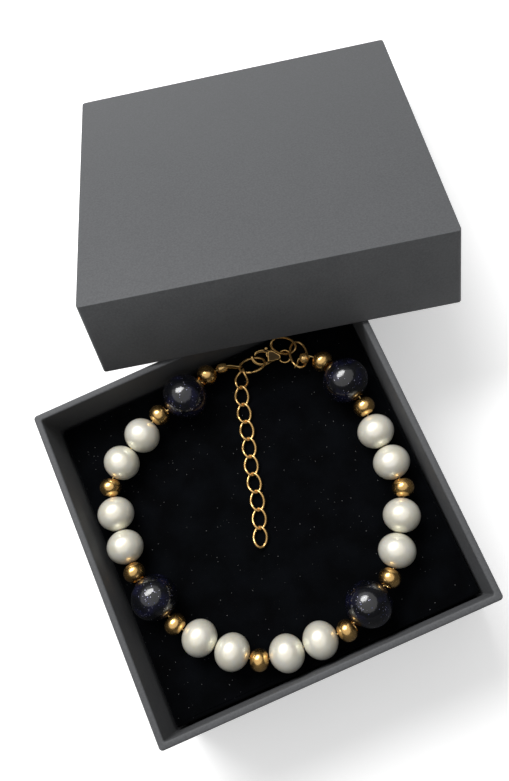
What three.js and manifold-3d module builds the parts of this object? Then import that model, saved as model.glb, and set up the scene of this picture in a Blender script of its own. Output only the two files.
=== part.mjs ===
// Pearl bracelet lying in a small square gift box, whose lid leans on the open tray.
// Millimetres, +Z up. The origin is the middle of the tray's underside. X runs along the
// tray's front wall, and Y from the front wall towards the back one, under the lid.
import * as THREE from 'three';
import { mergeVertices } from 'three/addons/utils/BufferGeometryUtils.js';
import Module from 'manifold-3d';

const wasm = await Module();
wasm.setup();

// Gift box: cardboard wrapped in paper
const TRAY_LENGTH = 75.5;
const TRAY_WIDTH = 75;
const TRAY_HEIGHT = 36.5;
const CARD = 1.5;
const WRAP_RADIUS = 0.8;
const PAD_DROP = 12.4;
const PAD_CLEARANCE = 0.4;
const PAD_EDGE = 1.2;
const LID_HEIGHT = 19.8;
const LID_CLEARANCE = 0.25;

// How the lid leans: its turn, and where the middle of its front lower edge lies
const LID_TURN = -13.4;
const LID_FRONT = { x: 18.9, y: 30.7 };
const REST_GAP = 0.3;

// Beads: the length is along the hole, and the sides and rings are those of the mesh
const BEADS = {
  pearl: { diameter: 8.15, length: 7.53, bore: 1, sides: 14, rings: 8 },
  stone: { diameter: 10.35, length: 9.78, bore: 1.1, sides: 16, rings: 9 },
  gold: { diameter: 4.85, length: 4.38, bore: 1.9, sides: 12, rings: 6 },
};
const BEAD_GAP = 0.05;
const BEAD_REST_GAP = 0.15;

// The order of the beads: three like repeats, and one stone between gold beads at the end
const REPEAT = ['gold', 'stone', 'gold', 'pearl', 'pearl', 'gold', 'pearl', 'pearl'];
const REPEATS = 3;
const LAST_BEADS = ['gold', 'stone', 'gold'];

// Where the string of beads runs over the pad, from its left end round to its right end
const STRING_ROUTE = [
  { x: 0.6, y: 32.4 },
  { x: -6.3, y: 29.4 },
  { x: -13.0, y: 28.1 },
  { x: -21.1, y: 23.9 },
  { x: -28.8, y: 18.2 },
  { x: -30.3, y: 8.7 },
  { x: -31.0, y: -1.3 },
  { x: -28.7, y: -8.7 },
  { x: -26.7, y: -15.7 },
  { x: -20.2, y: -23.0 },
  { x: -12.8, y: -29.5 },
  { x: -2.6, y: -30.3 },
  { x: 7.2, y: -30.9 },
  { x: 13.6, y: -27.4 },
  { x: 20.1, y: -24.0 },
  { x: 24.8, y: -17.0 },
  { x: 29.9, y: -8.5 },
  { x: 29.6, y: 1.1 },
  { x: 29.7, y: 10.7 },
  { x: 28.4, y: 17.7 },
  { x: 25.6, y: 24.5 },
];

// Beading wire, which turns back at each end in a loop round a ring, through a crimp
const STRING_DIAMETER = 0.4;
const STRING_SIDES = 6;
const STEPS_A_SPAN = 3;
const END_BEAD_HEIGHT = 3.9;
const CRIMPS = {
  left: { diameter: 2.2, length: 3.1, bore: 1.4, sides: 10, rings: 6 },
  right: { diameter: 2.4, length: 2.5, bore: 1.4, sides: 12, rings: 6 },
};
const LEG_SPREAD = 0.5;
const LOOP_RISE = 0.72;
// The loop's turn round a ring's wire, as shares of its rise over that wire
const LOOP_TURN = [
  { ahead: -0.3, up: 1 },
  { ahead: 0.7, up: 0.6 },
  { ahead: 0.7, up: -0.6 },
  { ahead: -0.3, up: -1 },
];
// Each crimp's middle over the pad, and the ring that its loop holds, at an angle on the oval
const STRING_ENDS = {
  left: { x: 4.35, y: 32.8, z: 2.9, ring: 'ring_a', angle: 168 },
  right: { x: 22.3, y: 27.0, z: 3.1, ring: 'ring_c', angle: 150 },
};

// Wire rings. The fastening has a frame of its own, level and turned on the pad
const FASTENING = { x: 17.72, y: 30.56, turn: -23.5 };
const RING_WIRE = 0.56;
const RING_CUT = 0.15;
const RING_SIDES = 6;
const RING_STEPS = 26;
// The middle, length and width across the wire's middle, the turn of the long axis, the rise
// in mm for each mm along the frame's x and y, and the angle of the cut, in degrees
const RINGS = {
  ring_a: {
    x: -6.38, y: -2.41, z: 1.54, length: 6.04, width: 3.83,
    turn: 16.5, riseX: 0.09, riseY: -0.58, cut: 262,
  },
  ring_b: {
    x: 0.9, y: 1.7, z: 2.87, length: 5.49, width: 3.2,
    turn: 6, riseX: -0.75, riseY: 0.77, cut: 120,
  },
  ring_c: {
    x: 4.3, y: -0.21, z: 1.75, length: 6.74, width: 3.87,
    turn: 100, riseX: -0.35, riseY: -0.39, cut: 230,
  },
};

// Lobster claw clasp, in its own frame: origin in the tail ring, the claw towards -X,
// the lever on the +Y side, and its thickness along Z
const CLASP = { x: 1.08, y: -0.4, z: 1.22, roll: 24, pitch: 1.3 };
const CLASP_REACH = 7.76;
const TAIL_RING = { radius: 1.42, wire: 0.5, sides: 6, steps: 18 };
const BODY_THICKNESS = 1.5;
const HOOK_THICKNESS = 0.7;
const HOOK_START = -3.9;
const BODY_LOW_EDGE = -1.05;
const BODY_EDGE = 0.1;
const LEVER_THICKNESS = 0.5;
const LEVER_CLEARANCE = 0.15;
const BODY_STEPS = 40;
const LEVER_STEPS = 28;
const LEVER_PIVOT = { x: -3.5, y: 0.45 };
const LEVER_HUB = 0.85;
const SLOT_SIZE = { x: 3, y: 4 };
const PIN_DIAMETER = 0.7;
const PIN_SIDES = 8;
const HUB_SIDES = 12;
const KNOB = { x: -4.2, y: 1.95, radius: 0.4, width: 1.3 };

// Extender chain: twisted oval links
const LINK_WIRE = 0.5;
const LINK_PITCH = 4.02;
const LINK_WIDTH = 3.45;
const LINK_TWIST = -35;
const LINK_GAP = 0.13;
const LINK_STEPS = 20;
const LINK_SIDES = 6;
const CHAIN_LINKS = 10;
// The first link stands on edge where it holds ring a
const FIRST_LINK = { roll: 18, twist: -66 };
// Where the chain runs, from ring a to its last link
const CHAIN_ROUTE = [
  { x: 8.52, y: 30.4, z: 2.45 },
  { x: 6.6, y: 27.6, z: 1.0 },
  { x: 5.4, y: 23.9, z: 0.8 },
  { x: 3.3, y: 15.8, z: 0.8 },
  { x: 0.9, y: 7.8, z: 0.8 },
  { x: 0.1, y: 3.8, z: 0.9 },
  { x: -0.9, y: 0.1, z: 0.9 },
  { x: -2.2, y: -3.5, z: 0.8 },
  { x: -3.6, y: -7.1, z: 0.8 },
];

const PAD_TOP = TRAY_HEIGHT - PAD_DROP;

// Finishes
const finish = (color, roughness, metalness) =>
  new THREE.MeshStandardMaterial({ color, roughness, metalness });
const PAPER = finish(0x4a4b4d, 0.75, 0);
const VELVET = finish(0x08090c, 1, 0);
const PEARL = finish(0xe9e4da, 0.25, 0);
const GOLDSTONE = finish(0x10121f, 0.12, 0);
const GOLD_PLATE = finish(0xd2a24e, 0.22, 1);
const BEADING_WIRE = finish(0xc9a868, 0.35, 1);

const part = new THREE.Group();
const jewel = new THREE.Group();
jewel.position.z = PAD_TOP;
part.add(jewel);
const fastening = new THREE.Group();
fastening.position.set(FASTENING.x, FASTENING.y, 0);
fastening.rotation.z = THREE.MathUtils.degToRad(FASTENING.turn);
jewel.add(fastening);

function addPiece(parent, name, geometry, material) {
  const mesh = new THREE.Mesh(geometry, material);
  mesh.name = name;
  parent.add(mesh);
  return mesh;
}

// A closed three.js geometry as a manifold solid, and back
function solidOf(geometry, matrix = new THREE.Matrix4()) {
  const bare = geometry.clone().applyMatrix4(matrix);
  bare.deleteAttribute('normal');
  bare.deleteAttribute('uv');
  const merged = mergeVertices(bare, 1e-5);
  return new wasm.Manifold(new wasm.Mesh({
    numProp: 3,
    vertProperties: new Float32Array(merged.attributes.position.array),
    triVerts: new Uint32Array(merged.index.array),
  }));
}

function geometryOf(solid) {
  const mesh = solid.getMesh();
  const geometry = new THREE.BufferGeometry();
  geometry.setAttribute('position', new THREE.BufferAttribute(mesh.vertProperties, 3));
  geometry.setIndex(new THREE.BufferAttribute(mesh.triVerts, 1));
  geometry.computeVertexNormals();
  return geometry;
}

const shifted = (x, y, z) => new THREE.Matrix4().makeTranslation(x, y, z);

// A board with rounded upright edges and softened top edges, standing on z = 0
function board(length, width, height, radius, edge) {
  const [x, y] = [length / 2 - edge, width / 2 - edge];
  const corner = Math.max(radius - edge, 0.01);
  const outline = new THREE.Shape();
  outline.moveTo(-x + corner, -y);
  outline.lineTo(x - corner, -y);
  outline.absarc(x - corner, -y + corner, corner, -Math.PI / 2, 0, false);
  outline.lineTo(x, y - corner);
  outline.absarc(x - corner, y - corner, corner, 0, Math.PI / 2, false);
  outline.lineTo(-x + corner, y);
  outline.absarc(-x + corner, y - corner, corner, Math.PI / 2, Math.PI, false);
  outline.lineTo(-x, -y + corner);
  outline.absarc(-x + corner, -y + corner, corner, Math.PI, 1.5 * Math.PI, false);
  const options = { depth: height - 2 * edge, curveSegments: 2, bevelEnabled: edge > 0 };
  Object.assign(options, { bevelThickness: edge, bevelSize: edge, bevelSegments: 2 });
  return new THREE.ExtrudeGeometry(outline, options).translate(0, 0, edge);
}

// A box open at the top: a board, less a smaller one that starts a wall's thickness up
function openBox(length, width, height) {
  const inside = board(length - 2 * CARD, width - 2 * CARD, height, WRAP_RADIUS / 2, 0);
  const outside = solidOf(board(length, width, height, WRAP_RADIUS, 0));
  return outside.subtract(solidOf(inside, shifted(0, 0, CARD)));
}

function makeTray() {
  addPiece(part, 'tray', geometryOf(openBox(TRAY_LENGTH, TRAY_WIDTH, TRAY_HEIGHT)), PAPER);
}

function makePad() {
  const margin = 2 * (CARD + PAD_CLEARANCE);
  const height = PAD_TOP - CARD - REST_GAP;
  const pad = board(TRAY_LENGTH - margin, TRAY_WIDTH - margin, height, PAD_EDGE, PAD_EDGE);
  addPiece(part, 'pad', pad, VELVET).position.z = CARD + REST_GAP;
}

// The lid lies open side down. Its front wall rests on the tray's rim with its inner lower
// edge, and its back wall stands on the floor with its outer lower edge.
function makeLid() {
  const margin = 2 * (CARD + LID_CLEARANCE);
  const length = TRAY_LENGTH + margin;
  const width = TRAY_WIDTH + margin;
  const lean = Math.asin((TRAY_HEIGHT + REST_GAP) / (width - CARD));
  const upsideDown = new THREE.Matrix4().makeRotationX(Math.PI);
  upsideDown.setPosition(0, width / 2, LID_HEIGHT);
  const lid = openBox(length, width, LID_HEIGHT).transform(upsideDown.elements);
  const mesh = addPiece(part, 'lid', geometryOf(lid), PAPER);
  mesh.rotation.set(-lean, 0, THREE.MathUtils.degToRad(LID_TURN), 'ZYX');
  mesh.position.set(LID_FRONT.x, LID_FRONT.y, width * Math.sin(lean));
}

// A drilled bead, turned about Y: a slightly flattened ball, or a barrel for a crimp
function beadGeometry({ diameter, length, bore, sides, rings }) {
  const hole = bore / 2;
  const start = Math.asin(hole / (diameter / 2));
  const profile = [];
  for (let i = 0; i <= rings; i += 1) {
    const angle = start + (Math.PI - 2 * start) * (i / rings);
    const height = -Math.cos(angle) * (length / 2);
    profile.push(new THREE.Vector2(Math.sin(angle) * (diameter / 2), height));
  }
  profile.push(profile[0].clone());
  return new THREE.LatheGeometry(profile, sides);
}

const UP_THE_HOLE = new THREE.Vector3(0, 1, 0);

function addBead(parent, name, geometry, material, place, direction) {
  const mesh = addPiece(parent, name, geometry, material);
  mesh.position.copy(place);
  mesh.quaternion.setFromUnitVectors(UP_THE_HOLE, direction.clone().normalize());
  return mesh;
}

// The point further along a curve that lies at a given distance from a place on it
const ROUTE_STEP = 0.0005;

function stepAlong(curve, from, place, distance) {
  const step = ROUTE_STEP;
  let t = from;
  let point = place;
  while (point.distanceTo(place) < distance) {
    t += step;
    if (t > 1) {
      const end = curve.getPoint(1);
      const onward = curve.getTangent(1);
      const missing = distance - end.distanceTo(place);
      return { t: 1, point: end.addScaledVector(onward, missing) };
    }
    point = curve.getPoint(t);
  }
  const excess = (point.distanceTo(place) - distance) / distance;
  return { t: t - step * excess, point: point.clone().lerp(place, excess) };
}

// The string of beads: each lies as high over the pad as it is thick, and a gold bead
// hangs on the wire between its neighbours
const ORDER = [...Array.from({ length: REPEATS }, () => REPEAT).flat(), ...LAST_BEADS];

function beadHeight(index) {
  const kind = ORDER[index];
  if (kind !== 'gold') return BEADS[kind].diameter / 2 + BEAD_REST_GAP;
  if (index === 0 || index === ORDER.length - 1) return END_BEAD_HEIGHT;
  return (beadHeight(index - 1) + beadHeight(index + 1)) / 2;
}

function beadPlaces() {
  const route = new THREE.CatmullRomCurve3(
    STRING_ROUTE.map(({ x, y }) => new THREE.Vector3(x, y, 0)), false, 'centripetal');
  let here = { t: 0, point: route.getPoint(0) };
  const places = [new THREE.Vector3(here.point.x, here.point.y, beadHeight(0))];
  for (let i = 1; i < ORDER.length; i += 1) {
    const apart = (BEADS[ORDER[i - 1]].length + BEADS[ORDER[i]].length) / 2 + BEAD_GAP;
    const rise = beadHeight(i) - beadHeight(i - 1);
    here = stepAlong(route, here.t, here.point, Math.sqrt(apart ** 2 - rise ** 2));
    places.push(new THREE.Vector3(here.point.x, here.point.y, beadHeight(i)));
  }
  return places;
}

// A ring's wire lies on an oval that is drawn level and then raised onto a sloping plane
class RingWire extends THREE.Curve {
  constructor(ring, gapAngle = 0) {
    super();
    this.ring = ring;
    this.gapAngle = gapAngle;
  }

  getPoint(t, target = new THREE.Vector3()) {
    const { x, y, z, length, width, turn, riseX, riseY, cut } = this.ring;
    const start = THREE.MathUtils.degToRad(cut) + this.gapAngle / 2;
    const angle = start + t * (2 * Math.PI - this.gapAngle);
    const along = (length / 2) * Math.cos(angle);
    const across = (width / 2) * Math.sin(angle);
    const heading = THREE.MathUtils.degToRad(turn);
    const dx = along * Math.cos(heading) - across * Math.sin(heading);
    const dy = along * Math.sin(heading) + across * Math.cos(heading);
    return target.set(x + dx, y + dy, z + riseX * dx + riseY * dy);
  }
}

function circleShape(radius, sides) {
  const points = Array.from({ length: sides }, (_, i) => {
    const angle = (2 * Math.PI * i) / sides;
    return new THREE.Vector2(radius * Math.cos(angle), radius * Math.sin(angle));
  });
  return new THREE.Shape(points);
}

function wireAlong(path, diameter, sides, steps) {
  const options = { steps, extrudePath: path, bevelEnabled: false };
  return new THREE.ExtrudeGeometry(circleShape(diameter / 2, sides), options);
}

function makeRings() {
  Object.entries(RINGS).forEach(([name, ring]) => {
    const gapAngle = (4 * RING_CUT) / (ring.length + ring.width);
    const wire = wireAlong(new RingWire(ring, gapAngle), RING_WIRE, RING_SIDES, RING_STEPS);
    addPiece(fastening, name, wire, GOLD_PLATE);
  });
}

// The place on a ring's wire at an angle of its oval, over the pad
function placeOnRing(name, degrees) {
  const ring = { ...RINGS[name], cut: degrees };
  fastening.updateMatrix();
  return new RingWire(ring).getPoint(0).applyMatrix4(fastening.matrix);
}

// The clasp's frame inside the fastening's frame
function placeClaspPiece(mesh) {
  mesh.position.set(CLASP.x, CLASP.y, CLASP.z);
  const roll = THREE.MathUtils.degToRad(CLASP.roll);
  const pitch = THREE.MathUtils.degToRad(CLASP.pitch);
  mesh.rotation.set(roll, pitch, 0, 'ZYX');
}

// A flat form with softened edges, centred on z = 0
function plate(outline, thickness, edge, holes = []) {
  const shape = new THREE.Shape(outline);
  holes.forEach((hole) => shape.holes.push(new THREE.Path(hole)));
  const options = { depth: thickness - 2 * edge, bevelEnabled: edge > 0, bevelSegments: 1 };
  Object.assign(options, { bevelThickness: edge, bevelSize: edge, bevelOffset: -edge });
  return new THREE.ExtrudeGeometry(shape, options).translate(0, 0, edge - thickness / 2);
}

function smoothOutline(points, divisions) {
  const curve = new THREE.CatmullRomCurve3(
    points.map(({ x, y }) => new THREE.Vector3(x, y, 0)), true, 'centripetal');
  return curve.getPoints(divisions).slice(0, -1).map(({ x, y }) => new THREE.Vector2(x, y));
}

function uprightPin(x, y, radius, height, sides) {
  const pin = new THREE.CylinderGeometry(radius, radius, height, sides);
  return solidOf(pin, shifted(x, y, 0).multiply(new THREE.Matrix4().makeRotationX(Math.PI / 2)));
}

// Shares of the clasp's reach: the body with its hook, and the lever that closes it
const BODY_OUTLINE = [
  { x: -0.12, y: 0.05 }, { x: -0.22, y: 0.12 }, { x: -0.33, y: 0.19 }, { x: -0.45, y: 0.19 },
  { x: -0.53, y: 0.15 }, { x: -0.51, y: 0.02 }, { x: -0.5, y: -0.1 }, { x: -0.56, y: -0.17 },
  { x: -0.68, y: -0.19 }, { x: -0.81, y: -0.16 }, { x: -0.9, y: -0.08 }, { x: -0.93, y: 0 },
  { x: -0.965, y: 0.045 }, { x: -1, y: 0.01 }, { x: -0.985, y: -0.1 }, { x: -0.92, y: -0.19 },
  { x: -0.8, y: -0.255 }, { x: -0.66, y: -0.275 }, { x: -0.5, y: -0.24 }, { x: -0.38, y: -0.16 },
  { x: -0.25, y: -0.1 }, { x: -0.12, y: -0.06 },
];
const LEVER_OUTLINE = [
  { x: -0.4, y: -0.02 }, { x: -0.46, y: 0.05 }, { x: -0.54, y: 0.11 }, { x: -0.66, y: 0.13 },
  { x: -0.78, y: 0.11 }, { x: -0.86, y: 0.06 }, { x: -0.88, y: 0.01 }, { x: -0.9, y: 0.05 },
  { x: -0.885, y: 0.12 }, { x: -0.82, y: 0.18 }, { x: -0.7, y: 0.215 }, { x: -0.58, y: 0.22 },
  { x: -0.5, y: 0.21 }, { x: -0.43, y: 0.165 },
];

function claspPoints(shares) {
  return shares.map(({ x, y }) => ({ x: x * CLASP_REACH, y: y * CLASP_REACH }));
}

function makeClasp() {
  const { x, y } = LEVER_PIVOT;
  const slot = LEVER_THICKNESS + 2 * LEVER_CLEARANCE;
  const hub = LEVER_HUB + LEVER_CLEARANCE;
  const outline = smoothOutline(claspPoints(BODY_OUTLINE), BODY_STEPS);
  const hook = solidOf(plate(outline, HOOK_THICKNESS, BODY_EDGE));
  const body = solidOf(plate(outline, BODY_THICKNESS, BODY_EDGE))
    .trimByPlane([1, 0, 0], HOOK_START)
    .trimByPlane([0, 1, 0], BODY_LOW_EDGE);
  const { radius, wire, sides, steps } = TAIL_RING;
  const ring = new THREE.TorusGeometry(radius, wire / 2, sides, steps);
  const slotBox = new THREE.BoxGeometry(SLOT_SIZE.x, SLOT_SIZE.y, slot);
  const cut = solidOf(slotBox, shifted(x + hub - SLOT_SIZE.x / 2, y - hub + SLOT_SIZE.y / 2, 0));
  const clasp = body.add(hook).subtract(cut)
    .add(uprightPin(x, y, PIN_DIAMETER / 2, BODY_THICKNESS - 2 * BODY_EDGE, PIN_SIDES))
    .add(solidOf(ring));
  placeClaspPiece(addPiece(fastening, 'clasp_body', geometryOf(clasp), GOLD_PLATE));

  const arm = solidOf(plate(smoothOutline(claspPoints(LEVER_OUTLINE), LEVER_STEPS), LEVER_THICKNESS, 0));
  const lever = arm
    .add(uprightPin(x, y, LEVER_HUB, LEVER_THICKNESS, HUB_SIDES))
    .add(uprightPin(KNOB.x, KNOB.y, KNOB.radius, KNOB.width, PIN_SIDES))
    .subtract(uprightPin(x, y, PIN_DIAMETER / 2 + LEVER_CLEARANCE, BODY_THICKNESS, PIN_SIDES));
  placeClaspPiece(addPiece(fastening, 'clasp_lever', geometryOf(lever), GOLD_PLATE));
}

// A chain link: an oval of wire, twisted along its length so that all links lie alike
class LinkWire extends THREE.Curve {
  constructor(twist) {
    super();
    this.twist = THREE.MathUtils.degToRad(twist);
  }

  getPoint(t, target = new THREE.Vector3()) {
    const angle = 2 * Math.PI * t;
    const reach = (LINK_PITCH + LINK_WIRE + LINK_GAP) / 2;
    const along = reach * Math.cos(angle);
    const across = ((LINK_WIDTH - LINK_WIRE) / 2) * Math.sin(angle);
    const turned = this.twist * Math.cos(angle);
    return target.set(along, across * Math.cos(turned), across * Math.sin(turned));
  }
}

const linkGeometry = (twist) =>
  new THREE.TubeGeometry(new LinkWire(twist), LINK_STEPS, LINK_WIRE / 2, LINK_SIDES, true);

function makeChain() {
  const alike = linkGeometry(LINK_TWIST);
  const first = linkGeometry(FIRST_LINK.twist);
  const route = new THREE.CatmullRomCurve3(
    CHAIN_ROUTE.map(({ x, y, z }) => new THREE.Vector3(x, y, z)), false, 'centripetal');
  let here = { t: 0, point: route.getPoint(0) };
  for (let i = 1; i <= CHAIN_LINKS; i += 1) {
    const next = stepAlong(route, here.t, here.point, LINK_PITCH);
    const heading = new THREE.Vector3().subVectors(next.point, here.point).normalize();
    const side = new THREE.Vector3(0, 0, 1).cross(heading).normalize();
    const above = new THREE.Vector3().crossVectors(heading, side);
    const link = addPiece(jewel, `chain_link_${i}`, i === 1 ? first : alike, GOLD_PLATE);
    link.quaternion.setFromRotationMatrix(new THREE.Matrix4().makeBasis(heading, side, above));
    if (i === 1) link.rotateX(THREE.MathUtils.degToRad(FIRST_LINK.roll));
    link.position.copy(here.point).lerp(next.point, 0.5);
    here = next;
  }
}

// Wire through chosen points, with a like number of steps between each two of them
class ThreadPath extends THREE.CatmullRomCurve3 {
  getUtoTmapping(u) {
    return u;
  }
}

// An end of the string: the crimp, and the wire's points from the crimp's outer end round
// the ring and back through the crimp to the end bead
function makeStringEnd(side, endBead) {
  const size = CRIMPS[side];
  const { x, y, z, ring, angle } = STRING_ENDS[side];
  const crimp = new THREE.Vector3(x, y, z);
  const hold = placeOnRing(ring, angle);
  const onward = new THREE.Vector3().subVectors(hold, crimp).normalize();
  const inward = new THREE.Vector3().subVectors(crimp, endBead).normalize();
  const axis = onward.clone().add(inward).normalize();
  addBead(jewel, `crimp_${side}`, beadGeometry(size), GOLD_PLATE, crimp, axis);
  const across = new THREE.Vector3(0, 0, 1).cross(onward).normalize();
  const above = new THREE.Vector3().crossVectors(onward, across);
  const place = (from, direction, ahead, aside, up) => from.clone()
    .addScaledVector(direction, ahead)
    .addScaledVector(across, aside)
    .addScaledVector(above, up);
  const half = size.length / 2;
  const leg = LEG_SPREAD / 2;
  return [
    place(crimp, axis, -half, leg, 0),
    place(crimp, axis, half, leg, 0),
    ...LOOP_TURN.map(({ ahead, up }) => place(hold, onward, ahead * LOOP_RISE, 0, up * LOOP_RISE)),
    place(crimp, axis, half, -leg, 0),
    place(crimp, axis, -half, -leg, 0),
  ];
}

// The beads, and the wire's points through them. Wire runs straight through pearls and stones
const BEAD_KINDS = {
  pearl: { stem: 'pearl', material: PEARL },
  stone: { stem: 'stone', material: GOLDSTONE },
  gold: { stem: 'gold_bead', material: GOLD_PLATE },
};
const STRAIGHT_SHARE = 0.42;

function makeBeads(places) {
  const counts = { pearl: 0, stone: 0, gold: 0 };
  const geometries = Object.fromEntries(
    Object.entries(BEADS).map(([kind, size]) => [kind, beadGeometry(size)]));
  return places.flatMap((place, i) => {
    const kind = ORDER[i];
    const before = places[Math.max(i - 1, 0)];
    const after = places[Math.min(i + 1, places.length - 1)];
    const direction = new THREE.Vector3().subVectors(after, before).normalize();
    counts[kind] += 1;
    const { stem, material } = BEAD_KINDS[kind];
    addBead(jewel, `${stem}_${counts[kind]}`, geometries[kind], material, place, direction);
    if (kind === 'gold') return [place.clone()];
    const half = BEADS[kind].length * STRAIGHT_SHARE;
    return [-half, half].map((along) => place.clone().addScaledVector(direction, along));
  });
}

function makeString() {
  const places = beadPlaces();
  const left = makeStringEnd('left', places.at(0));
  const right = makeStringEnd('right', places.at(-1));
  const points = [...left, ...makeBeads(places), ...right.reverse()];
  const steps = (points.length - 1) * STEPS_A_SPAN;
  const path = new ThreadPath(points, false, 'centripetal');
  const wire = wireAlong(path, STRING_DIAMETER, STRING_SIDES, steps);
  addPiece(jewel, 'bead_string', wire, BEADING_WIRE);
}

makeTray();
makePad();
makeLid();
makeString();
makeRings();
makeClasp();
makeChain();

export default part;
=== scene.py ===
"""Looks for a pearl bracelet in an open gift box, built round its fixed CAD frame."""

import math

import bpy
import numpy as np
from mathutils import Matrix, Vector


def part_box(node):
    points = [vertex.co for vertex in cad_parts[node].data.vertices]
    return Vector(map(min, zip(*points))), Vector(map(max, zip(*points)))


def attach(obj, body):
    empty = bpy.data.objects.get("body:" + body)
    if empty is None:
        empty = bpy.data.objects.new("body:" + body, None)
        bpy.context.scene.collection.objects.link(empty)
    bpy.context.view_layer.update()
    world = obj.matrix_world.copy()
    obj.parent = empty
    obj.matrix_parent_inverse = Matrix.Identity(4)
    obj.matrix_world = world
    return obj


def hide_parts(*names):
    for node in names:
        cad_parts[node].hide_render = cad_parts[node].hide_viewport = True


bl_info = {
    "name": "Pearl bracelet in a gift box",
    "version": (1, 0, 0),
    "blender": (4, 5, 0),
    "location": "3D View > Sidebar > Bracelet",
    "description": "Dresses the bracelet, its box and its lid, and sets up the stage",
    "category": "Object",
}

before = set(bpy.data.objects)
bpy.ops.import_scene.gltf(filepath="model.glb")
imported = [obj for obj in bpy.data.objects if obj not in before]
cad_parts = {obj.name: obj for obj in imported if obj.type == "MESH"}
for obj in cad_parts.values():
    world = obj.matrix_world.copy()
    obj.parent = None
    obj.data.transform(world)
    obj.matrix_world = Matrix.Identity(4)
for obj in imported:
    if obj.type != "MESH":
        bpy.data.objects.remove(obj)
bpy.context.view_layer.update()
MM = 0.001

# The beads in the order in which they lie on the wire, from its left end to its right end
REPEAT = ["gold_bead", "stone", "gold_bead", "pearl", "pearl", "gold_bead", "pearl", "pearl"]
LAST_BEADS = ["gold_bead", "stone", "gold_bead"]
REPEATS = 3
RINGS = ["ring_a", "ring_b", "ring_c"]
LINKS = sorted(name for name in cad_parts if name.startswith("chain_link_"))


class BraceletSizes(bpy.types.PropertyGroup):
    """Sizes that the looks add to the frame"""

    bead_segments: bpy.props.IntProperty(
        name="Bead segments", description="Faces round a bead", default=48, min=16, max=96)
    drill_lip: bpy.props.FloatProperty(
        name="Drill lip", description="Rounding at the mouth of a drilled hole",
        default=0.12 * MM, min=0.01 * MM, max=0.4 * MM, subtype="DISTANCE", unit="LENGTH")
    card_edge: bpy.props.FloatProperty(
        name="Card edge", description="Rounding where the paper wraps an edge of the box",
        default=0.45 * MM, min=0.1 * MM, max=0.7 * MM, subtype="DISTANCE", unit="LENGTH")
    pile_relief: bpy.props.FloatProperty(
        name="Pile relief", description="How far the velvet sinks between its highest places",
        default=0.5 * MM, min=0.0, max=1.5 * MM, subtype="DISTANCE", unit="LENGTH")
    casting_voxel: bpy.props.FloatProperty(
        name="Casting voxel", description="Grid used to soften the cast clasp",
        default=0.1 * MM, min=0.1 * MM, max=0.3 * MM, subtype="DISTANCE", unit="LENGTH")


def colour_property(name, description, code):
    """A colour that a user can change, from its sRGB hex value."""
    return bpy.props.FloatVectorProperty(
        name=name, description=description, default=linear(code)[:3], size=3,
        min=0.0, max=1.0, subtype="COLOR")


def linear(code):
    """Linear RGBA of an sRGB hex value."""
    channels = [int(code[i:i + 2], 16) / 255 for i in (0, 2, 4)]
    curve = [c / 12.92 if c <= 0.04045 else ((c + 0.055) / 1.055) ** 2.4 for c in channels]
    return (*curve, 1.0)


class BraceletColours(bpy.types.PropertyGroup):
    """Colours of the finishes"""

    paper: colour_property("Paper", "Charcoal paper round the box", "535456")
    velvet: colour_property("Velvet", "Black velvet of the pad", "040507")
    pearl: colour_property("Pearl", "Ivory coating of the pearls", "FAF7EF")
    goldstone: colour_property("Goldstone", "Dark blue glass of the stones", "030409")
    gold: colour_property("Gold", "Gold plating", "EDC078")


def sizes():
    return bpy.context.scene.bracelet_sizes


def colour(name):
    return (*getattr(bpy.context.scene.bracelet_colours, name), 1.0)


# Materials

def feed(tree, socket, value):
    """Links a socket to another, or sets its plain value."""
    if isinstance(value, bpy.types.NodeSocket):
        tree.links.new(value, socket)
    else:
        socket.default_value = value


def node(tree, kind, settings=None, **links):
    """Adds a node with its settings and inputs. A key such as in_0 names an input by number."""
    made = tree.nodes.new(kind)
    for key, value in (settings or {}).items():
        setattr(made, key, value)
    for key, value in links.items():
        socket = int(key[3:]) if key.startswith("in_") else key.replace("_", " ")
        feed(tree, made.inputs[socket], value)
    return made


def new_material(name, **shader):
    """A material with its shader's values set, its node tree and its shader node."""
    material = bpy.data.materials.new(name)
    material.use_nodes = True
    tree = material.node_tree
    surface = tree.nodes["Principled BSDF"]
    for key, value in shader.items():
        surface.inputs[key.replace("_", " ")].default_value = value
    return material, tree, surface


def place_of(tree):
    """Object coordinates, in metres."""
    return tree.nodes.new("ShaderNodeTexCoord").outputs["Object"]


def ramp(tree, factor, *stops):
    """A colour ramp with stops given as (place, colour)."""
    made = node(tree, "ShaderNodeValToRGB", in_0=factor)
    elements = made.color_ramp.elements
    while len(elements) < len(stops):
        elements.new(0.5)
    for element, (place, value) in zip(elements, stops):
        element.position = place
        element.color = value
    return made.outputs["Color"]


def shade(value):
    """A grey of that linear value."""
    return (value, value, value, 1.0)


def mixed(tree, factor, first, second, blend="MIX"):
    """Two colours mixed. A colour mix has its factor in input 0 and its colours in 6 and 7."""
    settings = {"data_type": "RGBA", "blend_type": blend}
    made = node(tree, "ShaderNodeMix", settings, in_0=factor, in_6=first, in_7=second)
    return made.outputs[2]


def maths(tree, operation, first, second):
    """The result of a maths node on two values."""
    made = node(tree, "ShaderNodeMath", {"operation": operation}, in_0=first, in_1=second)
    return made.outputs[0]


def bumped(tree, surface, height, strength, distance, normal="Normal"):
    """Bumps a shader's normal, or its Coat Normal, by a height."""
    made = node(tree, "ShaderNodeBump", Height=height, Strength=strength, Distance=distance)
    tree.links.new(made.outputs["Normal"], surface.inputs[normal])


def per_metre(millimetres):
    """Texture scale at which one cell is that many millimetres."""
    return 1.0 / (millimetres * MM)


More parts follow.
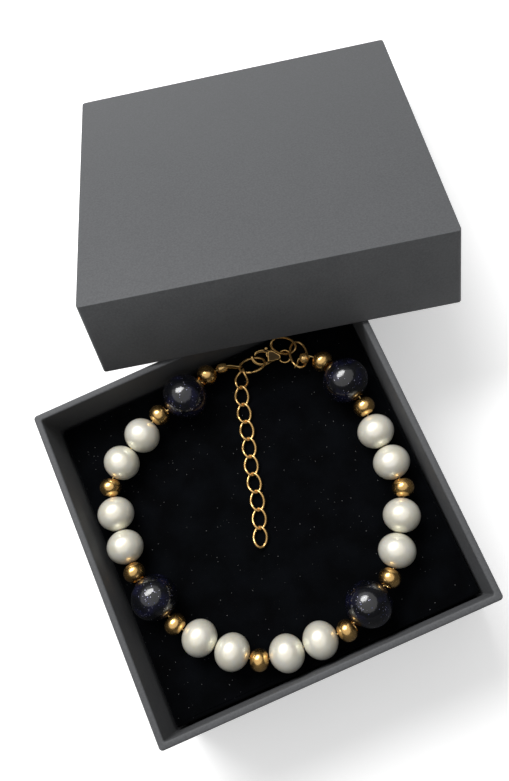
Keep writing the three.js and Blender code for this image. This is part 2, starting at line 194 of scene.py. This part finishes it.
def make_paper():
    """Dyed wrapping paper on greyboard: matt, with fine felted fibres and soft cloudy dye."""
    material, tree, surface = new_material("charcoal_wrapping_paper", Roughness=0.62)
    surface.inputs["Specular IOR Level"].default_value = 0.35
    place = place_of(tree)
    # Clouds of dye 9 mm across, and fibres drawn 0.4 mm long so that they show
    clouds = node(tree, "ShaderNodeTexNoise", Vector=place, Scale=per_metre(9), Detail=3.0)
    fibres = node(tree, "ShaderNodeTexNoise", Vector=place, Scale=per_metre(0.4), Detail=4.0)
    cloudy = ramp(tree, clouds.outputs["Fac"], (0.3, shade(0.985)), (0.7, shade(1.01)))
    flecked = ramp(tree, fibres.outputs["Fac"], (0.3, shade(0.84)), (0.7, shade(1.15)))
    dyed = mixed(tree, 1.0, colour("paper"), cloudy, "MULTIPLY")
    dyed = mixed(tree, 1.0, dyed, flecked, "MULTIPLY")
    # Worn edges are a little paler where handling has rubbed the dye
    worn = node(tree, "ShaderNodeNewGeometry").outputs["Pointiness"]
    edge_wear_and_painted_light = ramp(tree, worn, (0.53, shade(0.0)), (0.6, shade(1.0)))
    patchy = ramp(tree, clouds.outputs["Fac"], (0.4, shade(0.1)), (0.65, shade(0.5)))
    edge = mixed(tree, 1.0, edge_wear_and_painted_light, patchy, "MULTIPLY")
    dyed = mixed(tree, edge, dyed, linear("77787A"))
    tree.links.new(dyed, surface.inputs["Base Color"])
    rough = node(tree, "ShaderNodeMapRange", Value=fibres.outputs["Fac"], To_Min=0.54, To_Max=0.72)
    tree.links.new(rough.outputs["Result"], surface.inputs["Roughness"])
    bumped(tree, surface, fibres.outputs["Fac"], 0.35, 0.05 * MM)
    return material


def make_velvet():
    """Black flocked velvet on foam: takes in nearly all light, with a faint sheen at a slant."""
    material, tree, surface = new_material("black_flocked_velvet", Roughness=1.0)
    surface.inputs["Specular IOR Level"].default_value = 0.05
    surface.inputs["Sheen Weight"].default_value = 0.06
    surface.inputs["Sheen Roughness"].default_value = 0.5
    surface.inputs["Sheen Tint"].default_value = linear("8A8F9C")
    place = place_of(tree)
    # Pile brushed in patches 6 mm across, fibres drawn 0.25 mm, and stray specks of lint
    brushed = node(tree, "ShaderNodeTexNoise", Vector=place, Scale=per_metre(6), Detail=4.0)
    pile = node(tree, "ShaderNodeTexNoise", Vector=place, Scale=per_metre(0.25), Detail=2.0)
    lint = node(tree, "ShaderNodeTexVoronoi", Vector=place, Scale=per_metre(0.9))
    dark = ramp(tree, brushed.outputs["Fac"], (0.35, shade(0.55)), (0.7, shade(1.5)))
    cloth = mixed(tree, 1.0, colour("velvet"), dark, "MULTIPLY")
    speck = maths(tree, "LESS_THAN", lint.outputs["Distance"], 0.1)
    chosen = node(tree, "ShaderNodeSeparateColor", Color=lint.outputs["Color"])
    speck = maths(tree, "MULTIPLY", speck, maths(tree, "GREATER_THAN", chosen.outputs["Red"], 0.65))
    speck = maths(tree, "MULTIPLY", speck, chosen.outputs["Green"])
    cloth = mixed(tree, maths(tree, "MULTIPLY", speck, 0.5), cloth, linear("868686"))
    tree.links.new(cloth, surface.inputs["Base Color"])
    bumped(tree, surface, pile.outputs["Fac"], 0.5, 0.12 * MM)
    return material


def make_pearl():
    """Glass pearl: nacre lacquer in many thin coats over glass, with a soft broad shine."""
    material, tree, surface = new_material("nacre_lacquer", Roughness=0.34, IOR=1.56, Metallic=0.4)
    surface.inputs["Subsurface Weight"].default_value = 0.12
    surface.inputs["Subsurface Radius"].default_value = (1.0, 0.8, 0.6)
    surface.inputs["Subsurface Scale"].default_value = 1.2 * MM
    surface.inputs["Coat Weight"].default_value = 0.7
    surface.inputs["Coat Roughness"].default_value = 0.16
    # A coat a few hundred nanometres thick gives the faint lilac and green of nacre
    surface.inputs["Thin Film Thickness"].default_value = 420.0
    surface.inputs["Thin Film IOR"].default_value = 1.45
    place = place_of(tree)
    # Cloudy lacquer 2.5 mm across, and growth-like ripples drawn 0.35 mm wide
    clouds = node(tree, "ShaderNodeTexNoise", Vector=place, Scale=per_metre(2.5), Detail=2.0)
    ripples = node(tree, "ShaderNodeTexNoise", Vector=place, Scale=per_metre(0.35), Detail=2.0)
    tone = ramp(tree, clouds.outputs["Fac"], (0.35, linear("F3F1E6")), (0.65, linear("F8F8F4")))
    coated = mixed(tree, 1.0, colour("pearl"), tone, "MULTIPLY")
    tree.links.new(coated, surface.inputs["Base Color"])
    bumped(tree, surface, ripples.outputs["Fac"], 0.06, 0.03 * MM)
    return material


def make_goldstone():
    """Blue goldstone: nearly black glass full of metal flecks, polished so that it glints."""
    material, tree, surface = new_material("polished_goldstone_glass", Roughness=0.45, IOR=1.5)
    surface.inputs["Specular IOR Level"].default_value = 0.15
    surface.inputs["Coat Weight"].default_value = 1.0
    surface.inputs["Coat Roughness"].default_value = 0.1
    surface.inputs["Coat IOR"].default_value = 1.65
    place = place_of(tree)
    # Flecks drawn 0.3 mm apart, strewn in drifts 3 mm across
    flecks = node(tree, "ShaderNodeTexVoronoi", Vector=place, Scale=per_metre(0.3))
    drifts = node(tree, "ShaderNodeTexNoise", Vector=place, Scale=per_metre(3), Detail=3.0)
    spot = maths(tree, "LESS_THAN", flecks.outputs["Distance"], 0.3)
    channels = node(tree, "ShaderNodeSeparateColor", Color=flecks.outputs["Color"])
    drift = ramp(tree, drifts.outputs["Fac"], (0.42, shade(0.95)), (0.62, shade(0.86)))
    kept = maths(tree, "GREATER_THAN", channels.outputs["Red"], drift)
    spot = maths(tree, "MULTIPLY", spot, kept)
    cloud = ramp(tree, drifts.outputs["Fac"], (0.48, shade(0.0)), (0.68, shade(1.0)))
    glass = mixed(tree, cloud, colour("goldstone"), linear("0F1029"))
    glitter = mixed(tree, channels.outputs["Green"], linear("4A5CA6"), linear("D9D4E2"))
    tree.links.new(mixed(tree, spot, glass, glitter), surface.inputs["Base Color"])
    tree.links.new(maths(tree, "MULTIPLY", spot, 0.85), surface.inputs["Metallic"])
    # Each fleck lies at its own slant under the polish, which is a little wavy over 0.5 mm
    bumped(tree, surface, channels.outputs["Blue"], 0.25, 0.1 * MM)
    pits = node(tree, "ShaderNodeTexNoise", Vector=place, Scale=per_metre(0.5), Detail=3.0)
    bumped(tree, surface, pits.outputs["Fac"], 0.5, 0.05 * MM, "Coat Normal")
    return material


def make_gold(name, roughness, ripple, lacquer=0.35, painted_flat_shade=1.0, metal=1.0):
    """Gold-plated brass under a thin clear lacquer: a bright mirror with faint buffing marks.

    The share that isn't metal is the lacquer's warm haze, which keeps thin wire from going dark.
    """
    material, tree, surface = new_material(name, Metallic=metal, Roughness=roughness)
    surface.inputs["Coat Weight"].default_value = lacquer
    surface.inputs["Coat Roughness"].default_value = 0.12
    place = place_of(tree)
    # Buffing marks drawn 0.4 mm wide, and plating that is a little uneven over 2 mm
    marks = node(tree, "ShaderNodeTexNoise", Vector=place, Scale=per_metre(0.4), Detail=3.0)
    uneven = node(tree, "ShaderNodeTexNoise", Vector=place, Scale=per_metre(2), Detail=1.0)
    tone = ramp(tree, uneven.outputs["Fac"], (0.35, shade(0.9)), (0.65, shade(1.06)))
    tone = mixed(tree, 1.0, colour("gold"), tone, "MULTIPLY")
    # Painted shade and highlight: a casting's flats are darkened by the given share and its edges
    # kept bright. This stands in for the black box mirrored in the flats and for the highlights
    # along the edges
    edges = node(tree, "ShaderNodeNewGeometry").outputs["Pointiness"]
    edge_wear_and_painted_light = ramp(tree, edges, (0.503, shade(painted_flat_shade)), (0.518, shade(1.0)))
    tree.links.new(mixed(tree, 1.0, tone, edge_wear_and_painted_light, "MULTIPLY"), surface.inputs["Base Color"])
    rough = node(
        tree, "ShaderNodeMapRange", Value=marks.outputs["Fac"],
        To_Min=roughness * 0.75, To_Max=roughness * 1.35)
    tree.links.new(rough.outputs["Result"], surface.inputs["Roughness"])
    bumped(tree, surface, marks.outputs["Fac"], ripple, 0.05 * MM)
    return material


def make_wire():
    """Nylon-coated beading wire: gilt strands laid under a clear skin, with a satin shine."""
    material, tree, surface = new_material("gilt_beading_wire", Metallic=1.0, Roughness=0.32)
    surface.inputs["Coat Weight"].default_value = 0.4
    surface.inputs["Base Color"].default_value = linear("D2AE6C")
    place = place_of(tree)
    # Strands drawn 0.25 mm apart so that they show
    strands = node(
        tree, "ShaderNodeTexWave", {"wave_type": "BANDS", "bands_direction": "DIAGONAL"},
        Vector=place, Scale=per_metre(0.25) / 6.3, Distortion=0.6)
    bumped(tree, surface, strands.outputs["Fac"], 0.5, 0.04 * MM)
    return material


def make_surface():
    """White acrylic light table: matt, and lit a little from below so that shadows stay pale."""
    material, tree, surface = new_material("white_light_table", Roughness=0.9)
    surface.inputs["Emission Color"].default_value = linear("FFFFFF")
    surface.inputs["Emission Strength"].default_value = 0.4
    surface.inputs["Specular IOR Level"].default_value = 0.1
    grain = node(tree, "ShaderNodeTexNoise", Vector=place_of(tree), Scale=per_metre(30), Detail=2.0)
    tone = ramp(tree, grain.outputs["Fac"], (0.3, linear("F4F4F4")), (0.7, linear("F8F8F8")))
    tree.links.new(tone, surface.inputs["Base Color"])
    return material


MAKERS = {
    "paper_wrap": make_paper,
    "velvet": make_velvet,
    "pearl": make_pearl,
    "goldstone": make_goldstone,
    "gold_plate": lambda: make_gold("gold_plated_brass", 0.24, 0.12, metal=0.78),
    "gold_satin": lambda: make_gold("satin_gold_plated_bead", 0.24, 0.12),
    # The clasp's flats are painted nearly black and its edges kept bright: painted shade and
    # highlight of the dark box mirrored in the casting
    "gold_casting": lambda: make_gold(
        "gold_casting_with_painted_dark_flats", 0.2, 0.06, lacquer=0.0, painted_flat_shade=0.05, metal=0.85),
    "beading_wire": make_wire,
}
MADE = {}


def finish_of(name):
    """The material of that finish, made once."""
    if name not in MADE:
        MADE[name] = MAKERS[name]()
    return MADE[name]


# Modelling helpers

# Corners of a CAD mesh nearer than this are one corner
SAME_PLACE = 0.002 * MM


def only(piece):
    """Makes a piece the one that is selected and active."""
    if bpy.context.mode != "OBJECT":
        bpy.ops.object.mode_set(mode="OBJECT")
    bpy.ops.object.select_all(action="DESELECT")
    piece.select_set(True)
    bpy.context.view_layer.objects.active = piece


def edit(piece, what="FACE"):
    """Opens edit mode on a piece with nothing selected."""
    only(piece)
    bpy.ops.object.mode_set(mode="EDIT")
    bpy.ops.mesh.select_mode(type=what)
    bpy.ops.mesh.select_all(action="DESELECT")


def applied(piece, kind, **settings):
    """Adds a modifier to a piece and applies it."""
    only(piece)
    modifier = piece.modifiers.new(kind.lower(), kind)
    for key, value in settings.items():
        setattr(modifier, key, value)
    bpy.ops.object.modifier_apply(modifier=modifier.name)


def smooth(piece, degrees=None):
    """Shades a piece smooth, or only where its faces meet at less than an angle."""
    only(piece)
    if degrees is None:
        bpy.ops.object.shade_smooth()
    else:
        bpy.ops.object.shade_smooth_by_angle(angle=math.radians(degrees))


def dress(piece, finish, slot, body, *nodes):
    """Gives a finished piece its material, hangs it on its body and hides the CAD nodes that it
    replaces.
    """
    only(piece)
    bpy.ops.object.transform_apply(location=True, rotation=True, scale=True)
    piece.data.materials.clear()
    piece.data.materials.append(finish_of(finish))
    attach(piece, body)
    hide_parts(*nodes)
    return piece


def copy_of(name, piece_name):
    """A merged copy of a CAD node, with its flat faces whole again."""
    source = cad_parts[name]
    piece = bpy.data.objects.new(piece_name, source.data.copy())
    bpy.context.scene.collection.objects.link(piece)
    piece.hide_render = False
    edit(piece, "VERT")
    bpy.ops.mesh.select_all(action="SELECT")
    bpy.ops.mesh.remove_doubles(threshold=SAME_PLACE)
    bpy.ops.object.mode_set(mode="OBJECT")
    return piece


def middle_of(name):
    """The middle of a CAD node's box."""
    low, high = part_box(name)
    return (low + high) / 2


# Gift box

BOX_CREASE = math.radians(40)
FLAT_WITHIN = math.radians(2)
PAD_BORDER = 1.2 * MM
PAD_ROUNDING = 1.1 * MM
PAD_CUTS = 60
CREASE_SIZE = 9 * MM


def wrapped_box(name):
    """A tray or lid of board, with edges rounded where the paper wraps them."""
    piece = copy_of(name, f"wrapped_{name}")
    edit(piece)
    bpy.ops.mesh.select_all(action="SELECT")
    bpy.ops.mesh.dissolve_limited(angle_limit=FLAT_WITHIN)
    bpy.ops.object.mode_set(mode="OBJECT")
    applied(
        piece, "BEVEL", width=sizes().card_edge, segments=3, limit_method="ANGLE",
        angle_limit=BOX_CREASE, use_clamp_overlap=True)
    smooth(piece, 50)
    return dress(piece, "paper_wrap", "paper_wrap", "root", name)


class BRACELET_OT_tray(bpy.types.Operator):
    """Make the wrapped tray"""

    bl_idname = "bracelet.tray"
    bl_label = "Tray"

    def execute(self, context):
        wrapped_box("tray")
        return {"FINISHED"}


class BRACELET_OT_lid(bpy.types.Operator):
    """Make the wrapped lid that leans on the tray"""

    bl_idname = "bracelet.lid"
    bl_label = "Lid"

    def execute(self, context):
        wrapped_box("lid")
        return {"FINISHED"}


class BRACELET_OT_pad(bpy.types.Operator):
    """Make the velvet pad"""

    bl_idname = "bracelet.pad"
    bl_label = "Velvet pad"

    def execute(self, context):
        low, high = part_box("pad")
        size = high - low
        bpy.ops.object.select_all(action="DESELECT")
        bpy.ops.mesh.primitive_cube_add(size=1, location=(low + high) / 2, scale=size)
        piece = context.object
        piece.name = "velvet_pad"
        bpy.ops.object.transform_apply(location=True, rotation=True, scale=True)
        # Only the face on top stays selected
        edit(piece)
        bpy.ops.object.mode_set(mode="OBJECT")
        for polygon in piece.data.polygons:
            polygon.select = polygon.normal.z > 0.9
        bpy.ops.object.mode_set(mode="EDIT")
        # The velvet is pulled down into a rounded border before it is divided
        bpy.ops.mesh.inset(thickness=PAD_BORDER, depth=0)
        bpy.ops.mesh.subdivide(number_cuts=PAD_CUTS)
        bpy.ops.object.mode_set(mode="OBJECT")
        applied(
            piece, "BEVEL", width=PAD_ROUNDING, segments=4, limit_method="ANGLE",
            angle_limit=BOX_CREASE)
        creases = bpy.data.textures.new("velvet_creases", "CLOUDS")
        creases.noise_scale = CREASE_SIZE
        creases.noise_depth = 3
        # Displaced inwards only, so that the beads keep their places
        applied(
            piece, "DISPLACE", texture=creases, texture_coords="OBJECT",
            strength=sizes().pile_relief, mid_level=1.0)
        smooth(piece)
        dress(piece, "velvet", "velvet", "root", "pad")
        return {"FINISHED"}


# Beads

def drilled_bead(name, width, length, bore, lip):
    """A ball drilled through along Z, with a rounded lip at each mouth of the hole."""
    bpy.ops.object.select_all(action="DESELECT")
    rings = sizes().bead_segments // 2
    bpy.ops.mesh.primitive_uv_sphere_add(segments=rings * 2, ring_count=rings, radius=width / 2)
    piece = bpy.context.object
    piece.name = name
    piece.scale.z = length / width
    bpy.ops.object.transform_apply(location=False, rotation=False, scale=True)
    # The corners inside the hole go, and its two rims are then joined by a wall
    edit(piece, "VERT")
    bpy.ops.object.mode_set(mode="OBJECT")
    hole = bore / 2
    for vertex in piece.data.vertices:
        vertex.select = vertex.co.xy.length < hole
    bpy.ops.object.mode_set(mode="EDIT")
    bpy.ops.mesh.delete(type="VERT")
    bpy.ops.mesh.select_all(action="DESELECT")
    bpy.ops.mesh.select_non_manifold()
    bpy.ops.mesh.bridge_edge_loops()
    bpy.ops.object.mode_set(mode="OBJECT")
    applied(
        piece, "BEVEL", width=lip, segments=3, limit_method="ANGLE",
        angle_limit=LIP_CREASE, use_clamp_overlap=True)
    edit(piece)
    bpy.ops.mesh.select_all(action="SELECT")
    bpy.ops.mesh.normals_make_consistent(inside=False)
    bpy.ops.object.mode_set(mode="OBJECT")
    smooth(piece)
    return piece


def strung(pattern, piece_name, place, axis, spin):
    """A copy of a bead at a place, with its hole along the axis, turned round the wire."""
    piece = bpy.data.objects.new(piece_name, pattern.data.copy())
    bpy.context.scene.collection.objects.link(piece)
    turn = Vector((0, 0, 1)).rotation_difference(axis).to_matrix().to_4x4()
    piece.matrix_world = Matrix.Translation(place) @ turn @ Matrix.Rotation(spin, 4, "Z")
    return piece


def bead_run():
    """The beads' node names in order, with each one's middle and the way its hole runs."""
    kinds = REPEAT * REPEATS + LAST_BEADS
    counts = dict.fromkeys(kinds, 0)
    names = []
    for kind in kinds:
        counts[kind] += 1
        names.append((kind, f"{kind}_{counts[kind]}"))
    middles = [middle_of(name) for _, name in names]
    run = []
    for i, (kind, name) in enumerate(names):
        before = middles[max(i - 1, 0)]
        after = middles[min(i + 1, len(middles) - 1)]
        run.append((kind, name, middles[i], (after - before).normalized()))
    return run


# Diameter, length and hole of each kind of bead, as drilled, and of each crimp bead
BEADS = {
    "pearl": (8.15, 7.53, 1.0),
    "stone": (10.35, 9.78, 1.1),
    "gold_bead": (4.85, 4.38, 1.9),
}
CRIMPS = {
    "crimp_left": (2.2, 3.1, 1.4),
    "crimp_right": (2.4, 2.5, 1.4),
}
# Each bead is turned on the wire by this many radians more than the last
TURN_PER_BEAD = 2.4
LIP_CREASE = math.radians(35)


def string_beads(kind, finish, slot=None):
    """Makes the beads of one kind, each at its place on the wire."""
    pattern = drilled_bead("pattern", *(size * MM for size in BEADS[kind]), sizes().drill_lip)
    for i, (this, name, place, axis) in enumerate(bead_run()):
        if this == kind:
            piece = strung(pattern, f"round_{name}", place, axis, i * TURN_PER_BEAD)
            dress(piece, finish, slot or finish, "root", name)
    bpy.data.objects.remove(pattern)


class BRACELET_OT_pearls(bpy.types.Operator):
    """Make the pearls"""

    bl_idname = "bracelet.pearls"
    bl_label = "Pearls"

    def execute(self, context):
        string_beads("pearl", "pearl")
        return {"FINISHED"}


class BRACELET_OT_stones(bpy.types.Operator):
    """Make the goldstone beads"""

    bl_idname = "bracelet.stones"
    bl_label = "Goldstone beads"

    def execute(self, context):
        string_beads("stone", "goldstone")
        return {"FINISHED"}


def turned_axis(piece):
    """The axis of a turned piece: the direction whose spread is unlike the other two."""
    places = np.array([v.co for v in piece.data.vertices])
    spreads, directions = np.linalg.eigh(np.cov((places - places.mean(0)).T))
    odd = 0 if spreads[1] - spreads[0] > spreads[2] - spreads[1] else 2
    return Vector(directions[:, odd])


class BRACELET_OT_gold_beads(bpy.types.Operator):
    """Make the gold beads and the crimp beads"""

    bl_idname = "bracelet.gold_beads"
    bl_label = "Gold beads and crimps"

    def execute(self, context):
        string_beads("gold_bead", "gold_satin", "gold_plate")
        for name, crimp in CRIMPS.items():
            pattern = drilled_bead("pattern", *(size * MM for size in crimp), sizes().drill_lip)
            source = copy_of(name, "source")
            axis = turned_axis(source)
            bpy.data.objects.remove(source)
            piece = strung(pattern, f"round_{name}", middle_of(name), axis, 0)
            dress(piece, "gold_plate", "gold_plate", "root", name)
            bpy.data.objects.remove(pattern)
        return {"FINISHED"}


# Wire work

# Swelling of faceted wire before it is smoothed, which makes up for what the smoothing takes
LINK_SWELL = 0.05 * MM
STRING_SWELL = 0.02 * MM


def rounded_wire(name, finish, swell):
    """A copy of a node of wire, made round."""
    piece = copy_of(name, f"round_{name}")
    edit(piece)
    bpy.ops.mesh.select_all(action="SELECT")
    bpy.ops.mesh.tris_convert_to_quads()
    bpy.ops.transform.shrink_fatten(value=swell)
    bpy.ops.object.mode_set(mode="OBJECT")
    applied(piece, "SUBSURF", levels=2, render_levels=2)
    smooth(piece)
    return dress(piece, finish, finish, "root", name)


class BRACELET_OT_rings(bpy.types.Operator):
    """Make the wire rings"""

    bl_idname = "bracelet.rings"
    bl_label = "Rings"

    def execute(self, context):
        for name in RINGS:
            rounded_wire(name, "gold_plate", LINK_SWELL)
        return {"FINISHED"}


class BRACELET_OT_chain(bpy.types.Operator):
    """Make the links of the extender chain"""

    bl_idname = "bracelet.chain"
    bl_label = "Extender chain"

    def execute(self, context):
        for name in LINKS:
            rounded_wire(name, "gold_plate", LINK_SWELL)
        return {"FINISHED"}


class BRACELET_OT_string(bpy.types.Operator):
    """Make the wire through the beads, with its end loops"""

    bl_idname = "bracelet.string"
    bl_label = "Beading wire"

    def execute(self, context):
        rounded_wire("bead_string", "beading_wire", STRING_SWELL)
        return {"FINISHED"}


class BRACELET_OT_clasp(bpy.types.Operator):
    """Make the cast body and the lever of the clasp"""

    bl_idname = "bracelet.clasp"
    bl_label = "Lobster claw clasp"

    def execute(self, context):
        for name, body in (("clasp_body", "root"), ("clasp_lever", "clasp_lever")):
            piece = copy_of(name, f"cast_{name}")
            applied(piece, "REMESH", mode="VOXEL", voxel_size=sizes().casting_voxel)
            applied(piece, "SMOOTH", factor=0.5, iterations=8)
            smooth(piece)
            dress(piece, "gold_casting", "gold_plate", body, name)
        return {"FINISHED"}


# Stage

# Camera fitted to the photograph: place in mm, the directions of its right and its up, its lens
# in mm, and the nearest distance that it sees, in metres
CAMERA_PLACE = (8.61, -23.69, 227.72)
CAMERA_RIGHT = (0.91331, -0.39628, -0.09396)
CAMERA_UP = (0.40726, 0.88748, 0.21567)
CAMERA_LENS = 42.08
CLIP_START = 0.01

# Soft boxes: place and target in mm, size in mm, watts
SOFT_BOXES = {
    "key_softbox": ((-70, 270, 440), (0, 10, 20), (380, 220), 2.2),
    "top_softbox": ((-60, 130, 600), (0, 0, 0), (1560, 1440), 3.9),
}
STUDIO_AIR = 0.06
# Side of the table in metres
TABLE_SIZE = 4


def aimed(place, target):
    """A matrix that stands at a place and looks at a target."""
    place, target = Vector(place) * MM, Vector(target) * MM
    turn = (target - place).to_track_quat("-Z", "Y").to_matrix().to_4x4()
    return Matrix.Translation(place) @ turn


class BRACELET_OT_stage(bpy.types.Operator):
    """Make the camera, the lights and the white table"""

    bl_idname = "bracelet.stage"
    bl_label = "Stage"

    def execute(self, context):
        scene = context.scene
        camera = bpy.data.objects.new("camera", bpy.data.cameras.new("camera"))
        scene.collection.objects.link(camera)
        camera.data.lens = CAMERA_LENS
        camera.data.clip_start = CLIP_START
        right, up = Vector(CAMERA_RIGHT), Vector(CAMERA_UP)
        back = right.cross(up)
        turn = Matrix((right, up, back)).transposed().to_4x4()
        camera.matrix_world = Matrix.Translation(Vector(CAMERA_PLACE) * MM) @ turn
        scene.camera = camera

        for name, (place, target, (width, height), watts) in SOFT_BOXES.items():
            light = bpy.data.lights.new(name, "AREA")
            light.shape = "ELLIPSE"
            light.size, light.size_y = width * MM, height * MM
            light.energy = watts
            lamp = bpy.data.objects.new(name, light)
            scene.collection.objects.link(lamp)
            lamp.matrix_world = aimed(place, target)

        world = bpy.data.worlds.new("studio_air")
        world.use_nodes = True
        air = world.node_tree.nodes["Background"]
        air.inputs["Color"].default_value = linear("FFFFFF")
        air.inputs["Strength"].default_value = STUDIO_AIR
        scene.world = world
        scene.view_settings.view_transform = "Standard"

        bpy.ops.object.select_all(action="DESELECT")
        bpy.ops.mesh.primitive_plane_add(size=TABLE_SIZE, location=(0, 0, 0))
        table = context.object
        table.name = "table"
        table.data.materials.append(make_surface())
        return {"FINISHED"}


class BRACELET_PT_panel(bpy.types.Panel):
    """Lists the pieces and their sizes"""

    bl_label = "Pearl bracelet"
    bl_idname = "BRACELET_PT_panel"
    bl_space_type = "VIEW_3D"
    bl_region_type = "UI"
    bl_category = "Bracelet"

    def draw(self, context):
        layout = self.layout
        for group in (context.scene.bracelet_sizes, context.scene.bracelet_colours):
            box = layout.box()
            for name in group.__annotations__:
                box.prop(group, name)
        for operator in OPERATORS:
            layout.operator(operator.bl_idname)


OPERATORS = (
    BRACELET_OT_stage,
    BRACELET_OT_tray,
    BRACELET_OT_lid,
    BRACELET_OT_pad,
    BRACELET_OT_pearls,
    BRACELET_OT_stones,
    BRACELET_OT_gold_beads,
    BRACELET_OT_string,
    BRACELET_OT_rings,
    BRACELET_OT_chain,
    BRACELET_OT_clasp,
)
CLASSES = (BraceletSizes, BraceletColours, *OPERATORS, BRACELET_PT_panel)


def register():
    for cls in CLASSES:
        bpy.utils.register_class(cls)
    bpy.types.Scene.bracelet_sizes = bpy.props.PointerProperty(type=BraceletSizes)
    bpy.types.Scene.bracelet_colours = bpy.props.PointerProperty(type=BraceletColours)


def unregister():
    del bpy.types.Scene.bracelet_colours
    del bpy.types.Scene.bracelet_sizes
    for cls in reversed(CLASSES):
        bpy.utils.unregister_class(cls)


def main():
    register()
    bpy.ops.bracelet.stage()
    bpy.ops.bracelet.tray()
    bpy.ops.bracelet.lid()
    bpy.ops.bracelet.pad()
    bpy.ops.bracelet.pearls()
    bpy.ops.bracelet.stones()
    bpy.ops.bracelet.gold_beads()
    bpy.ops.bracelet.string()
    bpy.ops.bracelet.rings()
    bpy.ops.bracelet.chain()
    bpy.ops.bracelet.clasp()


if __name__ == "__main__":
    main()
